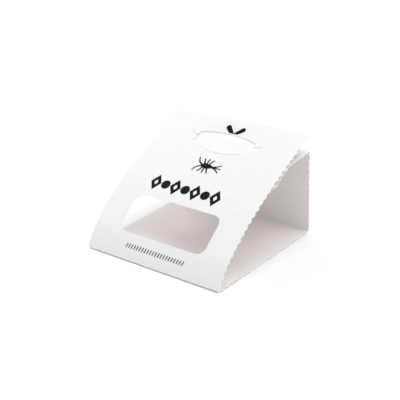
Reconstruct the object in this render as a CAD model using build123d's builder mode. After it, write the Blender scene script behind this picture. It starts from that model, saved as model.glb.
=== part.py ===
from build123d import *
import math
import os

# Folded card glue trap for crawling insects: one die-cut blank, creased into a wedge-shaped
# tunnel. Millimetres and degrees. X runs across the trap, Y from the low front crease to the
# tall back, Z up. The origin is under the middle of the trap, on the table.

# The blank
card = 0.5                 # thickness of the coated board
width = 85.0               # between the cut side edges, without the torn ties
depth = 80.2               # front crease to the back face
back_height = 46.0         # table to the top crease
front_rise = 63.8          # slope of the front panel where it leaves its crease
front_runs = ((17.5, -22.0), (31.0, -11.5), (49.4, -6.8))     # length and turn of each bow
flap_heading = 184.5       # the top flap leaves its crease almost level, towards the front
flap_runs = ((16.5, 0.0), (6.2, 25.5), (13.3, 0.0))

# Creases
crease_web = 1.5           # scored strip beside each fold line
fold_start = 0.5           # the swinging panel starts this far from its fold line

# Torn perforation ties along every side edge
tie_pitch = 3.9
tie_height = 0.6           # stand-out from the cut edge
tie_root = 2.2             # length of a tie where it meets the edge
tie_slope = 56.0           # angle of a tie's flanks from the card edge
cutter_margin = 0.4        # reach of the notching cutter past the tips of the ties

# Window in the front panel
window_middle = 24.9       # along the panel from the front crease
window_width = 54.8
window_height = 22.2
window_radius = 5.0
window_cut = 2.0           # reach of the punch on both sides of the card

# Locking tongue, cut from the top flap and pushed out through the front panel's slit.
# Plan distances are measured from the front crease along Y.
tongue_width = 36.0
tongue_tip = 56.4          # plan distance of the rounded end
tongue_shoulder = 60.9     # plan distance where the rounded end meets the sides
tongue_corner = 1.5        # radius where the rounded end meets the sides
tongue_root = 4.0          # along the flap from the top crease
tongue_knee = (71.1, 49.4)             # plan distance and height of the soft bend under the header
tongue_end = (55.6, 43.4)              # a point past the rounded end, on the tongue's line
tongue_bend = 6.0          # radius of the soft bend
tongue_gap = 0.3           # all round the tongue in the flap
lock_gap = 0.2             # all round the tongue in the front panel

# Slit in the front panel
arch_top = 70.4            # plan distance of the arch's crown
arch_side = 67.0           # plan distance of the arch over the tongue's sides
hook_reach = 22.6          # X of each hooked end
hook_low = 64.6            # plan distance of the hook beside the tongue
hook_high = 66.2           # plan distance of the hook's tip
hook_width = 1.1
hook_overlap = 1.0         # each hook starts this far inside the tongue's side
hook_sag = 0.2             # rise of the hook's middle, which bows it towards the front

# Glue
glue_margin = 5.4
glue_thickness = 0.2

front_axis = Vector(-depth / 2 + card / 2, card / 2)
rear_axis = Vector(depth / 2 - card / 2, card / 2)
top_axis = Vector(depth / 2 - card / 2, back_height - card / 2)
front_edge = -depth / 2
base_length = rear_axis.X - front_axis.X - 2 * crease_web
back_length = top_axis.Y - rear_axis.Y - fold_start - crease_web
tongue_half = tongue_width / 2
punch = 30.0               # depth of a cut made straight down through the header and the flap
punch_plane = Plane.XY.offset(back_height - punch / 2)


def toward(heading):
    """Unit vector in a side view, heading measured from +Y towards +Z."""
    return Vector(math.cos(math.radians(heading)), math.sin(math.radians(heading)))


def trim_start(runs, amount):
    """The same bows with the first one shortened at its start."""
    length, turn = runs[0]
    left = length - amount
    return ((left, turn * left / length),) + runs[1:]


def walk(start, heading, runs, distance):
    """Point and heading at a distance along the middle of a bowed panel."""
    point = start
    for length, turn in runs:
        step = min(distance, length)
        bend = turn * step / length
        chord = step
        if turn:
            radius = length / math.radians(abs(turn))
            chord = 2 * radius * math.sin(math.radians(abs(bend) / 2))
        point = point + toward(heading + bend / 2) * chord
        heading += bend
        distance -= step
    return point, heading


def draw_strip(start, heading, runs):
    """Closed outline of a band one card thick along tangent runs, drawn in a side view."""
    ends = []
    for side in (1, -1):
        point = start + toward(heading + 90) * (side * card / 2)
        angle = heading
        ends.append(point)
        for length, turn in runs:
            if turn:
                middle_radius = length / math.radians(abs(turn))
                radius = middle_radius - side * math.copysign(card / 2, turn)
                run = JernArc(point, toward(angle), radius, turn)
            else:
                run = PolarLine(point, length, angle)
            point = run @ 1
            angle += turn
        ends.append(point)
    Line(ends[0], ends[2])
    Line(ends[1], ends[3])


def tie_planes(start, heading, runs):
    """Working planes at the gaps between ties, evenly spaced along a panel."""
    total = sum(length for length, turn in runs)
    ties = round(total / tie_pitch)
    planes = []
    for index in range(ties + 1):
        point, angle = walk(start, heading, runs, total * index / ties)
        normal = toward(angle + 90)
        planes.append(Plane((0, point.X, point.Y), x_dir=(1, 0, 0), z_dir=(0, normal.X, normal.Y)))
    return planes


def draw_tie_gaps():
    """Tapered notch at both side edges, which leaves the torn ties standing."""
    height = tie_height + cutter_margin
    wide = tie_pitch - tie_root + 2 * height / math.tan(math.radians(tie_slope))
    for side in (1, -1):
        with Locations((side * (width / 2 + height / 2), 0)):
            Trapezoid(wide, height, tie_slope, rotation=90 * side)


def draw_crease(axis, web_heading, web_length):
    """Rounded fold line with the scored strip that joins it to the panel it is fixed to."""
    middle = axis + toward(web_heading) * (web_length / 2)
    with Locations(axis):
        Circle(card / 2)
    with Locations(middle):
        Rectangle(web_length, card, rotation=web_heading)


def draw_tongue_plan(gap, back):
    """Outline of the rounded tongue seen from above, grown by a gap, and cut square at the back."""
    half = tongue_half + gap
    tip = front_edge + tongue_tip - gap
    shoulder = front_edge + tongue_shoulder - gap
    ThreePointArc((-half, shoulder), (0, tip), (half, shoulder))
    Polyline((half, shoulder), (half, back), (-half, back), (-half, shoulder))


# Base panel, flat on the table
base_start = front_axis + toward(0) * crease_web
base_runs = ((base_length, 0.0),)
with BuildPart() as base_panel:
    with BuildSketch(Plane.YZ):
        with BuildLine():
            draw_strip(base_start, 0, base_runs)
        make_face()
    extrude(amount=width / 2 + tie_height, both=True)
    with BuildSketch(*tie_planes(base_start, 0, base_runs)):
        draw_tie_gaps()
    extrude(amount=card, both=True, mode=Mode.SUBTRACT)

# Sticky coat on the base
with BuildPart() as glue_layer:
    with BuildSketch(Plane.XY.offset(card)):
        Rectangle(width - 2 * glue_margin, depth - 2 * glue_margin)
    extrude(amount=glue_thickness)

# Creases, each fixed to the panel that holds still beside it
with BuildPart() as front_crease:
    with BuildSketch(Plane.YZ):
        draw_crease(front_axis, 0, crease_web)
    extrude(amount=width / 2, both=True)

with BuildPart() as rear_crease:
    with BuildSketch(Plane.YZ):
        draw_crease(rear_axis, 180, crease_web)
    extrude(amount=width / 2, both=True)

with BuildPart() as top_crease:
    with BuildSketch(Plane.YZ):
        draw_crease(top_axis, 270, crease_web)
    extrude(amount=width / 2, both=True)

# Back panel, upright
back_start = rear_axis + toward(90) * fold_start
back_runs = ((back_length, 0.0),)
with BuildPart() as back_panel:
    with BuildSketch(Plane.YZ):
        with BuildLine():
            draw_strip(back_start, 90, back_runs)
        make_face()
    extrude(amount=width / 2 + tie_height, both=True)
    with BuildSketch(*tie_planes(back_start, 90, back_runs)):
        draw_tie_gaps()
    extrude(amount=card, both=True, mode=Mode.SUBTRACT)

# Front panel, bowed outwards, with its window and the slit for the tongue
front_start, front_heading = walk(front_axis, front_rise, front_runs, fold_start)
front_bows = trim_start(front_runs, fold_start)
window_point, window_heading = walk(front_axis, front_rise, front_runs, window_middle)
window_normal = toward(window_heading + 90)
window_plane = Plane(
    (0, window_point.X, window_point.Y), x_dir=(1, 0, 0), z_dir=(0, window_normal.X, window_normal.Y)
)
with BuildPart() as front_panel:
    with BuildSketch(Plane.YZ):
        with BuildLine():
            draw_strip(front_start, front_heading, front_bows)
        make_face()
    extrude(amount=width / 2 + tie_height, both=True)
    with BuildSketch(*tie_planes(front_start, front_heading, front_bows)):
        draw_tie_gaps()
    extrude(amount=card, both=True, mode=Mode.SUBTRACT)
    with BuildSketch(window_plane):
        RectangleRounded(window_width, window_height, window_radius)
    extrude(amount=window_cut, both=True, mode=Mode.SUBTRACT)
    with BuildSketch(punch_plane):
        slit_half = tongue_half + lock_gap
        slit_tip = front_edge + tongue_tip - lock_gap
        slit_shoulder = front_edge + tongue_shoulder - lock_gap
        slit_side = front_edge + arch_side
        with BuildLine():
            ThreePointArc((-slit_half, slit_shoulder), (0, slit_tip), (slit_half, slit_shoulder))
            Line((slit_half, slit_shoulder), (slit_half, slit_side))
            ThreePointArc((slit_half, slit_side), (0, front_edge + arch_top), (-slit_half, slit_side))
            Line((-slit_half, slit_side), (-slit_half, slit_shoulder))
        make_face()
        for side in (1, -1):
            with BuildLine() as hook:
                ThreePointArc(
                    (side * (tongue_half - hook_overlap), front_edge + hook_low),
                    (side * (hook_reach + tongue_half) / 2, front_edge + hook_low + hook_sag),
                    (side * hook_reach, front_edge + hook_high),
                )
            SlotArc(arc=hook.edges()[0], height=hook_width)
    extrude(amount=punch, mode=Mode.SUBTRACT)

# Top flap under the front panel, with the opening that the tongue is cut from
flap_start = top_axis + toward(flap_heading) * fold_start
flap_bows = trim_start(flap_runs, fold_start)
root_point, root_heading = walk(top_axis, flap_heading, flap_runs, tongue_root)
root_tilt = math.radians(root_heading - 180)
opening_back = root_point.X + crease_web * math.cos(root_tilt) + card / 2 * math.sin(root_tilt)
with BuildPart() as top_flap:
    with BuildSketch(Plane.YZ):
        with BuildLine():
            draw_strip(flap_start, flap_heading, flap_bows)
        make_face()
    extrude(amount=width / 2 + tie_height, both=True)
    with BuildSketch(*tie_planes(flap_start, flap_heading, flap_bows)):
        draw_tie_gaps()
    extrude(amount=card, both=True, mode=Mode.SUBTRACT)
    with BuildSketch(punch_plane):
        with BuildLine():
            draw_tongue_plan(tongue_gap, opening_back)
        make_face()
    extrude(amount=punch, mode=Mode.SUBTRACT)

with BuildPart() as tongue_crease:
    with BuildSketch(Plane.YZ):
        draw_crease(root_point, root_heading - 180, crease_web)
    extrude(amount=tongue_half, both=True)

# Locking tongue: up from its crease, over a soft bend, then down through the slit
knee = Vector(front_edge + tongue_knee[0], tongue_knee[1])
tongue_stop = Vector(front_edge + tongue_end[0], tongue_end[1])
with BuildPart() as lock_tongue:
    with BuildSketch(Plane.YZ):
        with BuildLine():
            first = root_point + (knee - root_point).normalized() * fold_start
            FilletPolyline(first, knee, tongue_stop, radius=tongue_bend)
        trace(line_width=card)
    extrude(amount=tongue_half, both=True)
    with BuildSketch(punch_plane) as tongue_plan:
        with BuildLine():
            draw_tongue_plan(0, depth / 2)
        make_face()
        shoulders = tongue_plan.vertices().group_by(Axis.Y)[0]
        fillet(shoulders, tongue_corner)
    extrude(amount=punch, mode=Mode.INTERSECT)

os.makedirs("parts", exist_ok=True)
pieces = {
    "base_panel": base_panel,
    "glue_layer": glue_layer,
    "front_crease": front_crease,
    "rear_crease": rear_crease,
    "top_crease": top_crease,
    "back_panel": back_panel,
    "front_panel": front_panel,
    "top_flap": top_flap,
    "tongue_crease": tongue_crease,
    "lock_tongue": lock_tongue,
}
for label, piece in pieces.items():
    piece.part.label = label
    export_step(piece.part, f"parts/{label}.step")
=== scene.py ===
import math
import random

import bmesh
import bpy
from mathutils import Matrix, Vector, geometry, noise


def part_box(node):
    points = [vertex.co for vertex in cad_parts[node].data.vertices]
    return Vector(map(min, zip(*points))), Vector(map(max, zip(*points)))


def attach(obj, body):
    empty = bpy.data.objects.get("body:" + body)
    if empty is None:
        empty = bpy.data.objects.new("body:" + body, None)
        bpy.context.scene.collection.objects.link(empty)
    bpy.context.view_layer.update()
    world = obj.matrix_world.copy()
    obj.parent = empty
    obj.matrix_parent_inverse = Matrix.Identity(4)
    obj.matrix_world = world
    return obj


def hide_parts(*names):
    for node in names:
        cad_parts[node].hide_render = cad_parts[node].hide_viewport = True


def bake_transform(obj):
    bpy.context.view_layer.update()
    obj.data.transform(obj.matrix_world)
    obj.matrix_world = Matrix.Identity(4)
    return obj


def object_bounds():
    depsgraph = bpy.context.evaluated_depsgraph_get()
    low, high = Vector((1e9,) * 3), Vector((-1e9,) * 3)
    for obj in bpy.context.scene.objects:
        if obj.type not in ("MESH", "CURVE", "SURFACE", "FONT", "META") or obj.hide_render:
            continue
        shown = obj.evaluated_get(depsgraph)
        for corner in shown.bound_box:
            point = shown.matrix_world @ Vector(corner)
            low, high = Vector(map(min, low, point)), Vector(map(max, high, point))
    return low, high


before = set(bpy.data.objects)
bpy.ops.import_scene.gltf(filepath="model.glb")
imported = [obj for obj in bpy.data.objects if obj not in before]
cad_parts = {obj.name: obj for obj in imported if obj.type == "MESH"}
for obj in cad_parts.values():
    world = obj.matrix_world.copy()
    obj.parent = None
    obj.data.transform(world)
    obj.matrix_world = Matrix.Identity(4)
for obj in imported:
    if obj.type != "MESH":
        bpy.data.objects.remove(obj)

cad_low, cad_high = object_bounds()

# Sizes in millimetres and degrees, as in the CAD. A side view has Y to the right and Z up.
MM = 0.001
CARD = 0.5
WIDTH = 85.0
DEPTH = (cad_high.y - cad_low.y) / MM
BACK_HEIGHT = 46.0
FRONT_EDGE = -DEPTH / 2
FOLD_STRIP = 1.5                # card on each side of a fold line that belongs to the fold
FOLD_RADIUS = 0.32              # of the card's middle at a fold
FRONT_RISE = 63.8
FRONT_RUNS = ((17.5, -22.0), (31.0, -11.5), (49.4, -6.8))
FLAP_HEADING = 184.5
FLAP_RUNS = ((16.5, 0.0), (6.2, 25.5), (13.3, 0.0))
EDGE_ROUND = 0.07               # rounding of the cut edges
LIP_ROUND = (0.12, 0.34)        # and of the lips of the slit, worn by the tongue: at its ends and middle

TIE_PITCH = 3.9
TIE_HEIGHT = 0.6
TIE_ROOT = 2.2
TIE_TOP = 1.4
TIE_SHOULDER = 0.40             # of the root's length from a tie's middle, where it is half as tall
TIE_CREST = (-0.5, -0.25, 0.0, 0.27, 0.5)       # frayed points along the top, of the top's length
BASE_TIES, BACK_TIES, FRONT_TIES, FLAP_TIES = 0.8, 0.6, 1.3, 1.4        # how tall each panel tore

WINDOW = (24.9, 54.8, 22.2, 5.0)        # middle along the panel, width, height, corner radius
TONGUE_WIDTH = 36.0
TONGUE_TIP = 56.4
TONGUE_SHOULDER = 60.9
TONGUE_ROOT = 4.0
TONGUE_KNEE = (71.1, 49.4)
TONGUE_END = (55.6, 43.4)
TONGUE_BEND = 6.0
TONGUE_CORNER = 1.0
TONGUE_GAP = 0.3
ARCH_TOP = 69.9
ARCH_SIDE = 67.0
HOOK_REACH = 22.6
HOOK_LOW = 64.6
HOOK_HIGH = 66.2
HOOK_WIDTH = 0.16               # narrower than the CAD's slit, whose lips have closed up
DENT_BREADTH, DENT_DEPTH = 1.9, 0.40    # of the bruise along a hook
DENT_OFFSET = 0.45              # of its breadth, how far the bruise lies below the hook
DENT_REACH = 4                  # no bruise further away than this
LIP_GAP = 0.04                  # between the tongue and the lips that rest on it
LIP_FADE_UP, LIP_FADE_DOWN, LIP_FADE_SIDE = 6.0, 1.5, 3.0       # how far its sinking reaches

# Slow unevenness of each surface: seed, size of a wave, height
FRONT_RIPPLE = (1, 34, 0.16)
BACK_RIPPLE = (3, 30, 0.12)
FLAP_RIPPLE = (5, 30, 0.10)
GLUE_RIM_ACROSS, GLUE_RIM_ALONG = (7, 5, 0.4), (8, 5, 0.4)
GLUE_POOLING = (9, 9, 0.05)
LOCK_MIDDLE = 80                # up the front panel
LOCK_HALF_WIDTH, LOCK_HALF_LENGTH = 30, 14
LOCK_CALM, LOCK_END = 0.7, 1.6  # in those halves: inside, the panel is calm; outside, the lock ends

FOLD_ROWS, FOLD_COLUMNS = 22, 40        # of mesh along and across a fold strip
TONGUE_SAMPLES = 200            # places tried along the tongue
TONGUE_MATCH = 0.12             # how nearly one has to lie square to the panel
TONGUE_FAR = 10.0               # depth where none does

GLUE_THICKNESS = 0.2
GLUE_INSET = 0.6                # narrower than the CAD's, so that its uneven rim stays within
GLUE_CORNER = 1.5
GLUE_ROUND = 0.09
GLUE_BITE = 0.02                # sunk into the card, so that no slit shows
INK_THICKNESS = 0.04
INK_BITE = 0.004
INK_ROUND = 0.006
FLOOR_LEVEL = -0.0004           # metres: the card stands a hair off the floor

FRONT_AXIS = Vector((FRONT_EDGE + CARD / 2, CARD / 2))
REAR_AXIS = Vector((DEPTH / 2 - CARD / 2, CARD / 2))
TOP_AXIS = Vector((DEPTH / 2 - CARD / 2, BACK_HEIGHT - CARD / 2))


# ---------------------------------------------------------------- side-view paths

def toward(heading):
    """Unit vector in the side view."""
    angle = math.radians(heading)
    return Vector((math.cos(angle), math.sin(angle)))


class Path:
    """The middle line of a bowed or folded piece of card: tangent runs of (length, turn)."""

    def __init__(self, start, heading, runs):
        self.start = start
        self.heading = heading
        self.runs = runs
        self.length = sum(length for length, turn in runs)

    def place(self, distance):
        """Point and heading at a distance from the start."""
        point, heading, left = self.start.copy(), self.heading, distance
        for index, (length, turn) in enumerate(self.runs):
            last = index == len(self.runs) - 1
            step = left if last else min(left, length)
            bend = turn * step / length if length else 0.0
            chord = step
            if abs(bend) > 1e-9:
                radius = step / math.radians(abs(bend))
                chord = 2 * radius * math.sin(math.radians(abs(bend)) / 2)
                chord = math.copysign(chord, step)
            point = point + toward(heading + bend / 2) * chord
            heading += bend
            left -= step
            if left <= 0:
                break
        return point, heading

    def wrap(self, x, distance, lift):
        """Point in the frame, in metres, for a flat place on the card and a lift to its left."""
        point, heading = self.place(distance)
        point = point + toward(heading + 90) * lift
        return Vector((x, point.x, point.y)) * MM

    def distance_at(self, y):
        """Distance at which the path passes a place along Y."""
        low, high = 0.0, self.length
        rising = self.place(high)[0].x > self.start.x
        for _ in range(40):
            middle = (low + high) / 2
            if (self.place(middle)[0].x < y) == rising:
                low = middle
            else:
                high = middle
        return low


def fold_path(start_axis, fixed_heading, free_heading):
    """A fold: in along the fixed panel to the fold line, round it, and out along the free panel."""
    turn = free_heading - fixed_heading
    tangent = FOLD_RADIUS * math.tan(math.radians(abs(turn)) / 2)
    straight = FOLD_STRIP - tangent
    arc = FOLD_RADIUS * math.radians(abs(turn))
    start = start_axis - toward(fixed_heading) * FOLD_STRIP
    return Path(start, fixed_heading, ((straight, 0.0), (arc, turn), (straight, 0.0)))


base_path = Path(FRONT_AXIS, 0.0, ((DEPTH - CARD, 0.0),))
back_path = Path(REAR_AXIS, 90.0, ((BACK_HEIGHT - CARD, 0.0),))
front_path = Path(FRONT_AXIS, FRONT_RISE, FRONT_RUNS)
flap_path = Path(TOP_AXIS, FLAP_HEADING, FLAP_RUNS)
tongue_axis = flap_path.place(TONGUE_ROOT)[0]


def make_tongue_path():
    """Up from the fold in the flap, over a soft bend, then straight down to the rounded end."""
    knee = Vector((FRONT_EDGE + TONGUE_KNEE[0], TONGUE_KNEE[1]))
    end = Vector((FRONT_EDGE + TONGUE_END[0], TONGUE_END[1]))
    rise, fall = knee - tongue_axis, end - knee
    rise_heading = math.degrees(math.atan2(rise.y, rise.x))
    fall_heading = math.degrees(math.atan2(fall.y, fall.x)) % 360
    turn = fall_heading - rise_heading
    tangent = TONGUE_BEND * math.tan(math.radians(turn) / 2)
    arc = TONGUE_BEND * math.radians(turn)
    runs = ((rise.length - tangent, 0.0), (arc, turn), (fall.length - tangent, 0.0))
    return Path(tongue_axis, rise_heading, runs)


tongue_path = make_tongue_path()


# ---------------------------------------------------------------- flat outlines

def arc_through(first, middle, last, count):
    """Points on the circle through three points, both ends included."""
    ax, ay = first
    bx, by = middle
    cx, cy = last
    d = 2 * (ax * (by - cy) + bx * (cy - ay) + cx * (ay - by))
    sa, sb, sc = ax * ax + ay * ay, bx * bx + by * by, cx * cx + cy * cy
    ux = (sa * (by - cy) + sb * (cy - ay) + sc * (ay - by)) / d
    uy = (sa * (cx - bx) + sb * (ax - cx) + sc * (bx - ax)) / d
    radius = math.hypot(ax - ux, ay - uy)
    start = math.atan2(ay - uy, ax - ux)
    via = (math.atan2(by - uy, bx - ux) - start) % (2 * math.pi)
    sweep = (math.atan2(cy - uy, cx - ux) - start) % (2 * math.pi)
    if via > sweep:
        sweep -= 2 * math.pi
    angles = [start + sweep * i / (count - 1) for i in range(count)]
    return [(ux + radius * math.cos(a), uy + radius * math.sin(a)) for a in angles]


def curve_points(first, control, last, count=12):
    """Points on a quadratic curve."""
    points = []
    for index in range(count + 1):
        t = index / count
        a, b, c = (1 - t) ** 2, 2 * t * (1 - t), t * t
        x = a * first[0] + b * control[0] + c * last[0]
        y = a * first[1] + b * control[1] + c * last[1]
        points.append((x, y))
    return points


def rounded_box(cx, cy, width, height, radius, steps=8):
    """Rectangle with round corners, anticlockwise."""
    points = []
    for index in range(4):
        side_x = 1 if index in (0, 3) else -1
        side_y = 1 if index in (0, 1) else -1
        ox = cx + side_x * (width / 2 - radius)
        oy = cy + side_y * (height / 2 - radius)
        for step in range(steps + 1):
            angle = math.radians(90 * (index + step / steps))
            points.append((ox + radius * math.cos(angle), oy + radius * math.sin(angle)))
    return points


def tie_points(first, last, tall, seed):
    """Torn ties along one side edge, as (stand-out, distance), going up."""
    rng = random.Random(seed)
    count = round((last - first) / TIE_PITCH)
    pitch = (last - first) / count
    points = []
    for index in range(count):
        middle = first + (index + 0.5) * pitch + rng.uniform(-0.15, 0.15)
        high = TIE_HEIGHT * tall * rng.uniform(0.7, 1.1)
        lean = rng.uniform(-0.3, 0.3)
        points.append((0.0, middle - TIE_ROOT / 2))
        points.append((high * 0.5, middle - TIE_ROOT * TIE_SHOULDER + lean * 0.5))
        for along in TIE_CREST:
            points.append((high * rng.uniform(0.72, 1.0), middle + TIE_TOP * along + lean))
        points.append((high * 0.5, middle + TIE_ROOT * TIE_SHOULDER + lean * 0.5))
        points.append((0.0, middle + TIE_ROOT / 2))
    return points


def panel_outline(first, last, tall, seed, corner=0.0):
    """A card panel with torn ties on both side edges, anticlockwise."""
    half = WIDTH / 2
    right = [(half + out, s) for out, s in tie_points(first, last - corner, tall, seed)]
    left = [(-half - out, s) for out, s in tie_points(first, last - corner, tall, seed + 1)]
    top = [(half, last)]
    if corner:
        cut = corner * 0.3
        top = [(half, last - corner), (half - cut, last - cut), (half - corner, last)]
    mirrored = [(-x, s) for x, s in top[::-1]]
    return [(half, first)] + right + top + mirrored + left[::-1] + [(-half, first)]


def tongue_outline(path, first, gap, steps=33):
    """The rounded tongue from a distance along a path to its tip, grown by a gap."""
    half = TONGUE_WIDTH / 2 + gap
    tip = path.distance_at(FRONT_EDGE + TONGUE_TIP - gap)
    shoulder = path.distance_at(FRONT_EDGE + TONGUE_SHOULDER - gap)
    arc = arc_through((half, shoulder), (0, tip), (-half, shoulder), steps)
    right = curve_points((half, shoulder - TONGUE_CORNER), arc[0], arc[1], 6)[:-1]
    return [(half, first)] + right + arc[1:-1] + [(-x, s) for x, s in right[::-1]] + [(-half, first)]


def at_plan(plan):
    """Distance up the front panel at a place along Y from its crease."""
    return front_path.distance_at(FRONT_EDGE + plan)


SLIT_HALF = TONGUE_WIDTH / 2 + LIP_GAP
ARCH = arc_through(
    (SLIT_HALF, at_plan(ARCH_SIDE)), (0, at_plan(ARCH_TOP)), (-SLIT_HALF, at_plan(ARCH_SIDE)), 41
)
HOOK_START = SLIT_HALF + 0.2
HOOK_LINE = arc_through(
    (HOOK_START, at_plan(HOOK_LOW)),
    ((HOOK_START + HOOK_REACH) / 2, at_plan(HOOK_LOW) + 0.25),
    (HOOK_REACH, at_plan(HOOK_HIGH)),
    9,
)


def slit_outline():
    """The slit in the front panel: lower lip round the tongue, hooked corners, arched upper lip."""
    lip = HOOK_WIDTH / 2
    lower = arc_through(
        (-SLIT_HALF, at_plan(TONGUE_SHOULDER - LIP_GAP)),
        (0, at_plan(TONGUE_TIP - LIP_GAP)),
        (SLIT_HALF, at_plan(TONGUE_SHOULDER - LIP_GAP)),
        33,
    )
    below = [(x, s - lip) for x, s in HOOK_LINE]
    above = [(x - 0.1, s + lip) for x, s in HOOK_LINE[::-1]]
    right = [(SLIT_HALF, below[0][1] - 0.1)] + below + above[:-1] + [(SLIT_HALF, above[-1][1] + 0.1)]
    left = [(-x, s) for x, s in right[::-1]]
    return lower + right + ARCH + left


# ---------------------------------------------------------------- card meshes

def ripple(x, s, seed, size, height):
    """Slow unevenness of a sheet, in millimetres."""
    return height * noise.noise(Vector((x / size, s / size, seed * 7.3)))


def signed_area(loop):
    """Twice the area of a closed outline, positive if anticlockwise."""
    return sum(a[0] * b[1] - b[0] * a[1] for a, b in zip(loop, loop[1:] + loop[:1]))


def inset(loop, amounts, outer):
    """The outline moved into the card by an amount at each point."""
    turn = 1 if (signed_area(loop) > 0) == outer else -1
    moved = []
    for index, point in enumerate(loop):
        before, after = loop[index - 1], loop[(index + 1) % len(loop)]
        first = Vector((point[0] - before[0], point[1] - before[1])).normalized()
        second = Vector((after[0] - point[0], after[1] - point[1])).normalized()
        middle = first + second
        if middle.length < 1e-6:
            middle = first
        middle.normalize()
        inward = Vector((-middle.y, middle.x)) * turn
        moved.append((point[0] + inward.x * amounts[index], point[1] + inward.y * amounts[index]))
    return moved


def inside(point, loops):
    """Whether a point is inside an outline and outside its holes."""
    x, y = point
    crossings = 0
    for loop in loops:
        for (ax, ay), (bx, by) in zip(loop, loop[1:] + loop[:1]):
            if (ay > y) != (by > y) and x < (bx - ax) * (y - ay) / (by - ay) + ax:
                crossings += 1
    return crossings % 2 == 1


def refine(loop, longest):
    """The outline with its long straight stretches divided."""
    points = []
    for a, b in zip(loop, loop[1:] + loop[:1]):
        count = max(1, math.ceil(math.hypot(b[0] - a[0], b[1] - a[1]) / longest))
        across, along = b[0] - a[0], b[1] - a[1]
        points += [(a[0] + across * i / count, a[1] + along * i / count) for i in range(count)]
    return points


def fill(loops, spacing, dense=()):
    """Triangles that fill an outline with holes, with an even grid of points inside. A dense zone is
    (x, distance, half width, half height, spacing)."""
    points, edges = [], []
    for loop in loops:
        first = len(points)
        points += loop
        edges += [(first + i, first + (i + 1) % len(loop)) for i in range(len(loop))]
    xs = [p[0] for p in loops[0]]
    ys = [p[1] for p in loops[0]]
    buckets = {}
    for x, y in points:
        buckets.setdefault((int(x // spacing), int(y // spacing)), []).append((x, y))
    whole = ((min(xs) + max(xs)) / 2, (min(ys) + max(ys)) / 2, (max(xs) - min(xs)) / 2,
             (max(ys) - min(ys)) / 2, spacing)
    for middle_x, middle_y, half_x, half_y, step in (*dense, whole):
        for row in range(1, int(2 * half_y / step) + 1):
            for column in range(1, int(2 * half_x / step) + 1):
                x = middle_x - half_x + (column - 0.5 * (row % 2)) * step
                y = middle_y - half_y + (row - 0.5) * step
                cell = (int(x // spacing), int(y // spacing))
                around = [(cell[0] + i, cell[1] + j) for i in (-1, 0, 1) for j in (-1, 0, 1)]
                near = [p for spot in around for p in buckets.get(spot, ())]
                clear = all(math.hypot(p[0] - x, p[1] - y) > 0.45 * step for p in near)
                if clear and inside((x, y), loops):
                    points.append((x, y))
                    buckets.setdefault(cell, []).append((x, y))
    made = geometry.delaunay_2d_cdt([Vector(p) for p in points], edges, [], 0, 1e-7)
    flat, faces = [tuple(v) for v in made[0]], made[2]
    kept = []
    for face in faces:
        middle = (sum(flat[i][0] for i in face) / 3, sum(flat[i][1] for i in face) / 3)
        if inside(middle, loops):
            kept.append(list(face))
    if len(flat) != len(points):
        raise RuntimeError("an outline crosses itself")
    return flat, kept


def finish_mesh(name, bm, materials, sharp=35.0):
    """An object from a bmesh, smooth shaded with its cut edges kept crisp."""
    bmesh.ops.remove_doubles(bm, verts=bm.verts, dist=1e-8)
    bmesh.ops.dissolve_degenerate(bm, dist=1e-9, edges=bm.edges)
    bmesh.ops.recalc_face_normals(bm, faces=bm.faces)
    mesh = bpy.data.meshes.new(name)
    bm.to_mesh(mesh)
    bm.free()
    for polygon in mesh.polygons:
        polygon.use_smooth = True
    mesh.set_sharp_from_angle(angle=math.radians(sharp))
    for material in materials:
        mesh.materials.append(material)
    piece = bpy.data.objects.new(name, mesh)
    bpy.context.scene.collection.objects.link(piece)
    return piece


def card_piece(name, path, outline, materials, holes=(), coated_side=1, spacing=2.0, warp=None,
               thickness=CARD, lift=0.0, soft=EDGE_ROUND, butt=(), dense=()):
    """A piece of sheet with thickness, wrapped along a path. The materials are those of the coated
    face, the plain face and the cut edge; coated_side is 1 where the coated face is to the path's
    left and -1 where it is to the right. soft is the rounding of the edges: one number, or for each
    outline a number or a function of x. butt lists the distances where it runs on into a fold, with
    no rounding. dense lists zones of finer mesh, as fill takes them."""
    warp = warp or (lambda x, s: 0.0)
    outlines = [refine(loop, spacing) for loop in (outline, *holes)]
    softs = soft if isinstance(soft, tuple) else (soft,) * len(outlines)

    def rounding_at(x, s, rounding):
        if any(abs(s - end) < 1e-6 for end in butt):
            return 0.0
        return rounding(x) if callable(rounding) else rounding

    amounts = [
        [rounding_at(x, s, rounding) for x, s in loop] for loop, rounding in zip(outlines, softs)
    ]
    faces_in = [
        inset(loop, depth, index == 0) for index, (loop, depth) in enumerate(zip(outlines, amounts))
    ]
    flat, triangles = fill(faces_in, spacing, dense)
    bm = bmesh.new()

    def vertex(x, s, height):
        return bm.verts.new(path.wrap(x, s, lift + height + warp(x, s)))

    half = thickness / 2
    top = [vertex(x, s, half) for x, s in flat]
    bottom = [vertex(x, s, -half) for x, s in flat]
    top_slot, bottom_slot = (0, 1) if coated_side > 0 else (1, 0)
    for triangle in triangles:
        bm.faces.new([top[i] for i in triangle]).material_index = top_slot
        bm.faces.new([bottom[i] for i in reversed(triangle)]).material_index = bottom_slot
    first = 0
    for loop, depth in zip(outlines, amounts):
        upper = [vertex(x, s, half - d) for (x, s), d in zip(loop, depth)]
        lower = [vertex(x, s, min(d, EDGE_ROUND) - half) for (x, s), d in zip(loop, depth)]
        rings = [top[first:first + len(loop)], upper, lower, bottom[first:first + len(loop)]]
        for above, below in zip(rings, rings[1:]):
            for i in range(len(loop)):
                j = (i + 1) % len(loop)
                corners = [above[i], above[j], below[j], below[i]]
                bm.faces.new(corners).material_index = 2
        first += len(loop)
    return finish_mesh(name, bm, materials)


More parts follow.
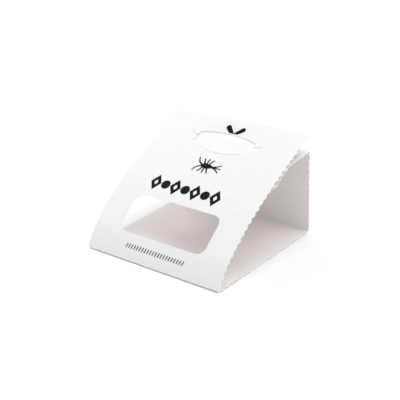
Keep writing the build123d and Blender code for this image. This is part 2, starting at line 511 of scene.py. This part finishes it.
def fold_piece(name, path, half_width, materials, coated_side):
    """The strip of card along a fold, which bends between its two panels."""
    rows, columns = FOLD_ROWS, FOLD_COLUMNS
    side_points = columns + 3       # a face's points and the two of the cut edge after it
    inner = half_width - EDGE_ROUND
    bm = bmesh.new()
    rings = []
    for row in range(rows + 1):
        s = path.length * row / rows
        ring = []
        for side in (1, -1):
            xs = [-half_width + EDGE_ROUND + 2 * inner * i / columns for i in range(columns + 1)]
            xs = xs if side > 0 else xs[::-1]
            ring += [bm.verts.new(path.wrap(x, s, side * CARD / 2)) for x in xs]
            end = half_width * side
            for height in (side * (CARD / 2 - EDGE_ROUND), side * (EDGE_ROUND - CARD / 2)):
                ring.append(bm.verts.new(path.wrap(end, s, height)))
        rings.append(ring)
    count = len(rings[0])
    for near, far in zip(rings, rings[1:]):
        for i in range(count):
            j = (i + 1) % count
            face = bm.faces.new([near[i], near[j], far[j], far[i]])
            on_left = i < columns
            on_right = side_points <= i < side_points + columns
            plain = (on_left and coated_side < 0) or (on_right and coated_side > 0)
            face.material_index = 1 if plain else 0
            if not (on_left or on_right):
                face.material_index = 2
    bm.faces.new(rings[0]).material_index = 2
    bm.faces.new(rings[-1][::-1]).material_index = 2
    piece = finish_mesh(name, bm, materials)
    start, end = path.wrap(0, 0, 0), path.wrap(0, path.length, 0)
    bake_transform(piece)
    return piece


# ---------------------------------------------------------------- materials

def new_material(name):
    """A node material with its shader and the object's own coordinates."""
    material = bpy.data.materials.new(name)
    material.use_nodes = True
    nodes = material.node_tree.nodes
    shader = nodes.get("Principled BSDF")
    place = nodes.new("ShaderNodeTexCoord")
    return material, shader, place.outputs["Object"]


def add_noise(material, place, scale, detail, roughness=0.55, stretch=None):
    """A noise texture at a scale per metre, stretched if asked."""
    nodes, links = material.node_tree.nodes, material.node_tree.links
    texture = nodes.new("ShaderNodeTexNoise")
    texture.inputs["Scale"].default_value = scale
    texture.inputs["Detail"].default_value = detail
    texture.inputs["Roughness"].default_value = roughness
    if stretch:
        mapping = nodes.new("ShaderNodeMapping")
        mapping.inputs["Scale"].default_value = stretch
        links.new(place, mapping.inputs["Vector"])
        place = mapping.outputs["Vector"]
    links.new(place, texture.inputs["Vector"])
    return texture.outputs["Fac"]


def add_ramp(material, value, stops):
    """Colours against a value, as (place, colour) stops."""
    nodes, links = material.node_tree.nodes, material.node_tree.links
    ramp = nodes.new("ShaderNodeValToRGB")
    elements = ramp.color_ramp.elements
    while len(elements) < len(stops):
        elements.new(0.5)
    for element, (place, colour) in zip(elements, stops):
        element.position = place
        element.color = (*colour, 1.0)
    links.new(value, ramp.inputs["Fac"])
    return ramp.outputs["Color"]


def add_range(material, value, low, high):
    """The value spread from low to high."""
    nodes, links = material.node_tree.nodes, material.node_tree.links
    spread = nodes.new("ShaderNodeMapRange")
    spread.inputs["From Min"].default_value = 0.3
    spread.inputs["From Max"].default_value = 0.7
    spread.inputs["To Min"].default_value = low
    spread.inputs["To Max"].default_value = high
    links.new(value, spread.inputs["Value"])
    return spread.outputs["Result"]


def add_bump(material, shader, heights):
    """Stacked relief, as (value, strength, distance in metres)."""
    nodes, links = material.node_tree.nodes, material.node_tree.links
    normal = None
    for value, strength, distance in heights:
        bump = nodes.new("ShaderNodeBump")
        bump.inputs["Strength"].default_value = strength
        bump.inputs["Distance"].default_value = distance
        links.new(value, bump.inputs["Height"])
        if normal:
            links.new(normal, bump.inputs["Normal"])
        normal = bump.outputs["Normal"]
    links.new(normal, shader.inputs["Normal"])


def make_coated_card():
    """White clay-coated face: even, faintly mottled, with a soft sheen and shallow fibre relief."""
    material, shader, place = new_material("card_coated")
    links = material.node_tree.links
    mottle = add_noise(material, place, 260.0, 5.0)
    fibre = add_noise(material, place, 2600.0, 4.0, 0.6)
    cloud = add_noise(material, place, 45.0, 2.0)
    shade = add_ramp(material, mottle, ((0.3, (0.793, 0.795, 0.797)), (0.7, (0.822, 0.822, 0.822))))
    links.new(shade, shader.inputs["Base Color"])
    links.new(add_range(material, fibre, 0.40, 0.54), shader.inputs["Roughness"])
    shader.inputs["Specular IOR Level"].default_value = 0.35
    add_bump(material, shader, ((cloud, 0.12, 0.0006), (fibre, 0.10, 0.00004)))
    return material


def make_plain_card():
    """Uncoated reverse: warmer, duller, with longer fibres."""
    material, shader, place = new_material("card_plain")
    links = material.node_tree.links
    fibre = add_noise(material, place, 900.0, 6.0, 0.65, (1.0, 0.35, 1.0))
    speck = add_noise(material, place, 3200.0, 3.0, 0.7)
    shade = add_ramp(material, fibre, ((0.25, (0.775, 0.745, 0.740)), (0.75, (0.82, 0.792, 0.788))))
    links.new(shade, shader.inputs["Base Color"])
    links.new(add_range(material, speck, 0.72, 0.88), shader.inputs["Roughness"])
    shader.inputs["Specular IOR Level"].default_value = 0.2
    add_bump(material, shader, ((fibre, 0.2, 0.0001), (speck, 0.2, 0.00004)))
    return material


def make_cut_edge():
    """Cut and torn edge: layered pulp."""
    material, shader, place = new_material("card_edge")
    links = material.node_tree.links
    pulp = add_noise(material, place, 5000.0, 5.0, 0.7)
    shade = add_ramp(material, pulp, ((0.25, (0.86, 0.857, 0.85)), (0.75, (0.93, 0.928, 0.922))))
    links.new(shade, shader.inputs["Base Color"])
    links.new(add_range(material, pulp, 0.8, 0.95), shader.inputs["Roughness"])
    shader.inputs["Specular IOR Level"].default_value = 0.15
    add_bump(material, shader, ((pulp, 0.5, 0.00008),))
    return material


def make_glue():
    """Tacky coat over card: a satin sheen, slow pools and spreading streaks, and a faint warm tint that is
    painted: it stands in for the warm cast of the shade inside the tunnel.
    """
    material, shader, place = new_material("glue_wet")
    links = material.node_tree.links
    streak = add_noise(material, place, 150.0, 3.0, 0.5, (0.25, 1.6, 1.0))
    pool = add_noise(material, place, 60.0, 2.0)
    bead = add_noise(material, place, 900.0, 3.0)
    # painted warm cast: the pinkish tint of these colours stands in for the warm shade inside the tunnel
    shade = add_ramp(material, pool, ((0.3, (0.81, 0.767, 0.760)), (0.7, (0.845, 0.803, 0.796))))
    links.new(shade, shader.inputs["Base Color"])
    links.new(add_range(material, bead, 0.30, 0.44), shader.inputs["Roughness"])
    shader.inputs["Specular IOR Level"].default_value = 0.4
    shader.inputs["Coat Weight"].default_value = 0.25
    shader.inputs["Coat Roughness"].default_value = 0.2
    add_bump(material, shader, ((streak, 0.25, 0.0004), (pool, 0.3, 0.0008)))
    return material


def make_ink():
    """Black offset ink: matt, with the fibre showing through as fine lighter specks."""
    material, shader, place = new_material("ink_black")
    links = material.node_tree.links
    speck = add_noise(material, place, 3000.0, 4.0, 0.7)
    stops = ((0.35, (0.008, 0.007, 0.008)), (0.68, (0.014, 0.013, 0.014)), (0.8, (0.06, 0.058, 0.06)))
    links.new(add_ramp(material, speck, stops), shader.inputs["Base Color"])
    links.new(add_range(material, speck, 0.45, 0.62), shader.inputs["Roughness"])
    shader.inputs["Specular IOR Level"].default_value = 0.1
    add_bump(material, shader, ((speck, 0.15, 0.00003),))
    return material


coated, plain, edge, glue, ink = (
    make_coated_card(), make_plain_card(), make_cut_edge(), make_glue(), make_ink(),
)
CARD_FACES = (coated, plain, edge)


# ---------------------------------------------------------------- the folded card

def tongue_depth(s):
    """How far the tongue's middle lies below that of the front panel."""
    point, heading = front_path.place(s)
    normal = toward(heading + 90)
    depth = TONGUE_FAR
    for index in range(TONGUE_SAMPLES):
        spot = tongue_path.place(tongue_path.length * index / (TONGUE_SAMPLES - 1))[0]
        away = spot - point
        if abs(away.dot(toward(heading))) < TONGUE_MATCH:
            depth = min(depth, -away.dot(normal))
    return depth


LIP_SINKS = [(x, s, tongue_depth(s) - CARD - LIP_GAP) for x, s in ARCH]


def arch_at(x):
    """Distance up the front panel of the arched upper lip, and how far it sinks there."""
    for (right, right_s, right_sink), (left, left_s, left_sink) in zip(LIP_SINKS, LIP_SINKS[1:]):
        if left <= x <= right:
            share = (right - x) / (right - left)
            return right_s + (left_s - right_s) * share, right_sink + (left_sink - right_sink) * share
    return LIP_SINKS[0][1:]


def lip_rest(x, s):
    """How far the arched lip sinks to rest on the tongue, fading out up the panel."""
    side = min(abs(x), SLIT_HALF)
    edge_s, sink = arch_at(side)
    along = (s - edge_s) / (LIP_FADE_UP if s > edge_s else LIP_FADE_DOWN)
    across = (abs(x) - side) / LIP_FADE_SIDE
    return sink * math.exp(-along * along - across * across)


def lip_round(x):
    """Rounding of the lips of the slit, fullest in the middle."""
    share = min(1.0, max(0.0, (SLIT_HALF - abs(x)) / 1.5))
    return LIP_ROUND[0] + (LIP_ROUND[1] - LIP_ROUND[0]) * share


def hook_bruise(x, s):
    """The pressed hollow just below each hooked end of the slit."""
    nearest = min(
        math.hypot(abs(x) - hx, (s + DENT_BREADTH * DENT_OFFSET - hs)) for hx, hs in HOOK_LINE
    )
    if nearest >= DENT_REACH:
        return 0.0
    return DENT_DEPTH * math.exp(-((nearest / (DENT_BREADTH * 0.5)) ** 2))


def front_warp(x, s):
    """The front panel's slow unevenness, flat at its crease, and the lips of the lock."""
    fade = min(1.0, max(0.0, (s - FOLD_STRIP) / 12))
    lock = math.hypot(x / LOCK_HALF_WIDTH, (s - LOCK_MIDDLE) / LOCK_HALF_LENGTH)
    calm = min(1.0, max(0.0, lock - LOCK_CALM))
    slow = ripple(x, s, *FRONT_RIPPLE) * fade * (0.25 + 0.75 * calm)
    if lock > LOCK_END:
        return slow
    return slow - lip_rest(x, s) - hook_bruise(x, s)


def back_warp(x, s):
    """The back panel's slow unevenness, held straight at both creases."""
    rise = (s - FOLD_STRIP) / (back_path.length - 2 * FOLD_STRIP)
    return ripple(x, s, *BACK_RIPPLE) * math.sin(math.pi * min(1.0, max(0.0, rise)))


def flap_warp(x, s):
    """The flap's unevenness, held straight at its crease and its hinge."""
    return ripple(x, s, *FLAP_RIPPLE) * min(1.0, max(0.0, (s - 6) / 20))


def make_card_panels():
    """The five panels that the blank folds into."""
    base_end = base_path.length - FOLD_STRIP
    back_end = back_path.length - FOLD_STRIP
    base = card_piece(
        "base_card", base_path, panel_outline(FOLD_STRIP, base_end, BASE_TIES, 11), CARD_FACES,
        coated_side=-1, spacing=2.5, butt=(FOLD_STRIP, base_end),
    )
    back = card_piece(
        "back_card", back_path, panel_outline(FOLD_STRIP, back_end, BACK_TIES, 21), CARD_FACES,
        coated_side=-1, warp=back_warp, butt=(FOLD_STRIP, back_end),
    )
    window_middle, window_width, window_height, window_radius = WINDOW
    window = rounded_box(0, window_middle, window_width, window_height, window_radius)
    hook_zones = [(side * 20.3, 80.8, 4.0, 2.4, 0.4) for side in (1, -1)]
    arch_zones = [(0, 90, 9, 4, 0.5), (0, 87, 22, 7, 0.9)]
    front = card_piece(
        "front_card", front_path,
        panel_outline(FOLD_STRIP, front_path.length, FRONT_TIES, 31, corner=0.5),
        CARD_FACES, holes=(window, slit_outline()), coated_side=1, spacing=1.6,
        warp=front_warp, soft=(EDGE_ROUND, EDGE_ROUND, lip_round), butt=(FOLD_STRIP,),
        dense=hook_zones + arch_zones,
    )
    opening = tongue_outline(flap_path, TONGUE_ROOT - FOLD_STRIP, TONGUE_GAP)
    flap = card_piece(
        "flap_card", flap_path,
        panel_outline(FOLD_STRIP, flap_path.length, FLAP_TIES, 41, corner=1.0),
        CARD_FACES, holes=(opening,), coated_side=-1, spacing=1.8, warp=flap_warp,
        butt=(FOLD_STRIP,),
    )
    tongue = card_piece(
        "tongue_card", tongue_path, tongue_outline(tongue_path, FOLD_STRIP, 0.0), CARD_FACES,
        coated_side=-1, spacing=1.2, butt=(FOLD_STRIP,),
    )
    for piece, body, node in (
        (base, "base", "base_panel"),
        (back, "back", "back_panel"),
        (front, "front", "front_panel"),
        (flap, "flap", "top_flap"),
        (tongue, "tongue", "lock_tongue"),
    ):
        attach(piece, body)
        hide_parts(node)


def make_folds():
    """The creased strips between the panels."""
    half = WIDTH / 2
    tongue_half = TONGUE_WIDTH / 2
    folds = (
        ("front_fold_strip", FRONT_AXIS, 180.0, FRONT_RISE, half, 1, ("base", "front"), "front_crease"),
        ("rear_fold_strip", REAR_AXIS, 0.0, 90.0, half, -1, ("base", "back"), "rear_crease"),
        ("top_fold_strip", TOP_AXIS, 90.0, FLAP_HEADING, half, -1, ("back", "flap"), "top_crease"),
        ("tongue_fold_strip", tongue_axis, FLAP_HEADING, tongue_path.heading, tongue_half, -1,
         ("flap", "tongue"), "tongue_crease"),
    )
    for name, axis, fixed, free, width, side, bodies, node in folds:
        piece = fold_piece(name, fold_path(axis, fixed, free), width, CARD_FACES, side)
        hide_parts(node)


def make_glue_coat():
    """The adhesive, with a slightly uneven outline and a rounded edge."""
    low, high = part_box("glue_layer")
    width, length = (high.x - low.x) / MM, (high.y - low.y) / MM
    middle = base_path.length / 2
    box = rounded_box(0, middle, width - GLUE_INSET, length - GLUE_INSET, GLUE_CORNER)
    outline = [
        (x + ripple(x, s, *GLUE_RIM_ACROSS), s + ripple(x, s, *GLUE_RIM_ALONG)) for x, s in refine(box, 1.5)
    ]

    def pooled(x, s):
        return ripple(x, s, *GLUE_POOLING)

    coat = card_piece(
        "glue_coat", base_path, outline, (glue, glue, glue), spacing=1.8, warp=pooled,
        thickness=GLUE_THICKNESS, lift=CARD / 2 + GLUE_THICKNESS / 2 - GLUE_BITE, soft=GLUE_ROUND,
    )
    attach(coat, "base")
    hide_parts("glue_layer")


# ---------------------------------------------------------------- printing on the front panel

def print_ink(name, outline, holes=()):
    """A flat film of ink on the outside of the front panel."""
    film = card_piece(
        name, front_path, outline, (ink, ink, ink), holes=holes, spacing=0.6, warp=front_warp,
        thickness=INK_THICKNESS, lift=CARD / 2 + INK_THICKNESS / 2 - INK_BITE, soft=INK_ROUND,
    )
    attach(film, "front")


def stroke(points, widths):
    """Closed outline of a tapering stroke through some points."""
    left, right = [], []
    for index, (x, y) in enumerate(points):
        before, after = points[max(index - 1, 0)], points[min(index + 1, len(points) - 1)]
        along = Vector((after[0] - before[0], after[1] - before[1])).normalized()
        share = index / (len(points) - 1)
        half = (widths[0] * (1 - share) + widths[1] * share) / 2
        left.append((x - along.y * half, y + along.x * half))
        right.append((x + along.y * half, y - along.x * half))
    return left + right[::-1]


def make_chevron():
    """The arrow mark above the slit: a thick V with round ends and a nearly open point."""
    half_stroke = 1.5
    foot = (0.6, 87.7)
    notch = (foot[0] + 0.1, foot[1] + 0.55)
    arms = []
    for side, tip in ((1, (5.2, 91.2)), (-1, (-4.0, 91.2))):
        heel = (foot[0] + side * 2.8, foot[1] + 0.1)
        along = Vector((tip[0] - heel[0], tip[1] - heel[1] - half_stroke * 0.6)).normalized()
        lean = math.atan2(along.y, along.x)
        cap = []
        for step in range(9):
            angle = lean + side * math.pi * (step / 8 - 0.5)
            across, up = half_stroke * math.cos(angle), half_stroke * math.sin(angle)
            cap.append((tip[0] + across, tip[1] + up))
        arms.append([heel] + cap)
    right, left = arms
    print_ink("ink_chevron", right + [notch] + left[::-1])


def make_band():
    """The bold band above the window: a generic row of lozenges and discs."""
    count, pitch, first, middle = 7, 6.4, -21.3, 44.9
    radius = 2.7
    angles = [math.radians(360 * step / 32) for step in range(32)]
    for index in range(count):
        x = first + pitch * index
        name = f"ink_band_{index + 1}"
        if index % 2:
            print_ink(name, [(x + radius * math.cos(a), middle + radius * math.sin(a)) for a in angles])
        else:
            print_ink(name, lozenge(x, middle, 3.35, 5.0), (lozenge(x, middle, 1.15, 1.75),))


def lozenge(x, s, half_width, half_height):
    """A diamond."""
    return [(x + half_width, s), (x, s + half_height), (x - half_width, s), (x, s - half_height)]


def make_hatch():
    """The thin line under the window: a generic run of fine slanted ticks."""
    ticks = 22
    left, right, low, high = -18.2, 18.2, 6.2, 8.6
    slant, width = 0.35, 0.58
    for index in range(ticks):
        x = left + (right - left) * index / (ticks - 1)
        points = stroke([(x - slant, low), (x + slant, high)], (width, width))
        print_ink(f"ink_tick_{index + 1:02d}", points)


def make_insect():
    """A generic bristletail outline: carrot-shaped body, feelers, legs and three tails."""
    cx, cy = 0.8, 62.2
    feeler_widths, leg_widths, tail_widths = (0.95, 0.65), (1.0, 0.7), (0.9, 0.6)
    legs = ((-2.4, 3.4, -1.5), (-1.0, 3.7, 0.2), (0.6, 3.3, 1.7))      # root, reach, lean
    body = []
    steps = 44
    for index in range(steps):
        angle = 2 * math.pi * index / steps
        along = math.cos(angle)
        taper = 1.0 - 0.42 * (along + 1) / 2
        body.append((cx + 3.9 * along, cy + 2.0 * taper * math.sin(angle)))
    print_ink("ink_bug_body", body)
    for side, hand in ((1, "left"), (-1, "right")):
        feeler = curve_points(
            (cx - 3.6, cy + side * 0.5), (cx - 6.4, cy + side * 1.2), (cx - 7.2, cy + side * 4.6)
        )
        print_ink(f"ink_bug_feeler_{hand}", stroke(feeler, feeler_widths))
        for index, (start, reach, lean) in enumerate(legs):
            leg = curve_points(
                (cx + start, cy + side * 1.1),
                (cx + start + lean * 0.3, cy + side * (1.1 + reach * 0.6)),
                (cx + start + lean, cy + side * (1.1 + reach)),
                8,
            )
            print_ink(f"ink_bug_leg_{index + 1}_{hand}", stroke(leg, leg_widths))
        tail = curve_points(
            (cx + 3.6, cy + side * 0.3), (cx + 6.0, cy + side * 0.7), (cx + 8.2, cy + side * 2.7)
        )
        print_ink(f"ink_bug_tail_{hand}", stroke(tail, tail_widths))
    middle_tail = curve_points((cx + 3.7, cy), (cx + 6.0, cy), (cx + 8.8, cy))
    print_ink("ink_bug_tail_middle", stroke(middle_tail, tail_widths))


# ---------------------------------------------------------------- floor, light and camera

def make_stage():
    """A plain white floor."""
    bm = bmesh.new()
    reach = 12.0
    corners = ((-reach, -reach), (reach, -reach), (reach, reach), (-reach, reach))
    bm.faces.new([bm.verts.new((x, y, FLOOR_LEVEL)) for x, y in corners])
    mesh = bpy.data.meshes.new("floor")
    bm.to_mesh(mesh)
    bm.free()
    floor = bpy.data.objects.new("floor", mesh)
    bpy.context.scene.collection.objects.link(floor)
    material, shader = new_material("floor_white")[:2]
    shader.inputs["Base Color"].default_value = (0.93, 0.93, 0.93, 1)
    shader.inputs["Roughness"].default_value = 0.9
    shader.inputs["Specular IOR Level"].default_value = 0.0
    mesh.materials.append(material)


def make_dome():
    """White light from all round, brightest near the horizon."""
    world = bpy.data.worlds.new("studio")
    world.use_nodes = True
    nodes, links = world.node_tree.nodes, world.node_tree.links
    place = nodes.new("ShaderNodeTexCoord")
    axes = nodes.new("ShaderNodeSeparateXYZ")
    links.new(place.outputs["Generated"], axes.inputs["Vector"])
    stops = ((0.0, (1, 1, 1)), (0.35, (0.72, 0.72, 0.72)), (1.0, (0.5, 0.5, 0.5)))
    shade = add_ramp(world, axes.outputs["Z"], stops)
    links.new(shade, nodes["Background"].inputs["Color"])
    nodes["Background"].inputs["Strength"].default_value = 0.95
    bpy.context.scene.world = world


def add_light(kind, name, place, power, size):
    """A soft light aimed at the foot of the card: a square AREA lamp or a broad SUN. It is hidden from
    reflections, so that the card and the glue show no glare."""
    light = bpy.data.lights.new(name, kind)
    light.energy = power
    if kind == "AREA":
        light.size = size
    else:
        light.angle = math.radians(size)
    lamp = bpy.data.objects.new(name, light)
    lamp.location = place
    lamp.rotation_euler = (-Vector(place)).to_track_quat("-Z", "Y").to_euler()
    lamp.visible_glossy = False
    bpy.context.scene.collection.objects.link(lamp)


def make_lights():
    """Broad light from above, a little right and behind, and a softbox low at each end."""
    add_light("SUN", "sky_panel", (0.25, 0.17, 0.9), 1.62, 60)
    add_light("AREA", "softbox_right", (0.90, 0.02, 0.42), 0.2, 0.5)
    add_light("AREA", "softbox_left", (-0.6, 0.22, 0.5), 2.7, 0.5)


def make_camera():
    """Long lens from the front right and above, turned very slightly."""
    azimuth, elevation, roll = (math.radians(a) for a in (39.9, 24.2, -2.6))
    target = Vector((0.0, FRONT_EDGE + 29.75, 25.5)) * MM
    distance = 0.5024
    level_reach = math.cos(elevation)
    back = Vector((
        math.sin(azimuth) * level_reach, -math.cos(azimuth) * level_reach, math.sin(elevation)
    ))
    data = bpy.data.cameras.new("camera")
    data.lens = 88.74
    data.sensor_width = 36.0
    data.shift_x = 0.037
    data.shift_y = 0.005
    data.clip_start, data.clip_end = 0.01, 20
    camera = bpy.data.objects.new("camera", data)
    camera.location = target + back * distance
    level = (-back).to_track_quat("-Z", "Y").to_matrix()
    camera.rotation_euler = (level @ Matrix.Rotation(roll, 3, "Z")).to_euler()
    bpy.context.scene.collection.objects.link(camera)
    bpy.context.scene.camera = camera


make_card_panels()
make_folds()
make_glue_coat()
make_chevron()
make_band()
make_hatch()
make_insect()
make_stage()
make_dome()
make_lights()
make_camera()
bpy.context.scene.view_settings.view_transform = "Standard"
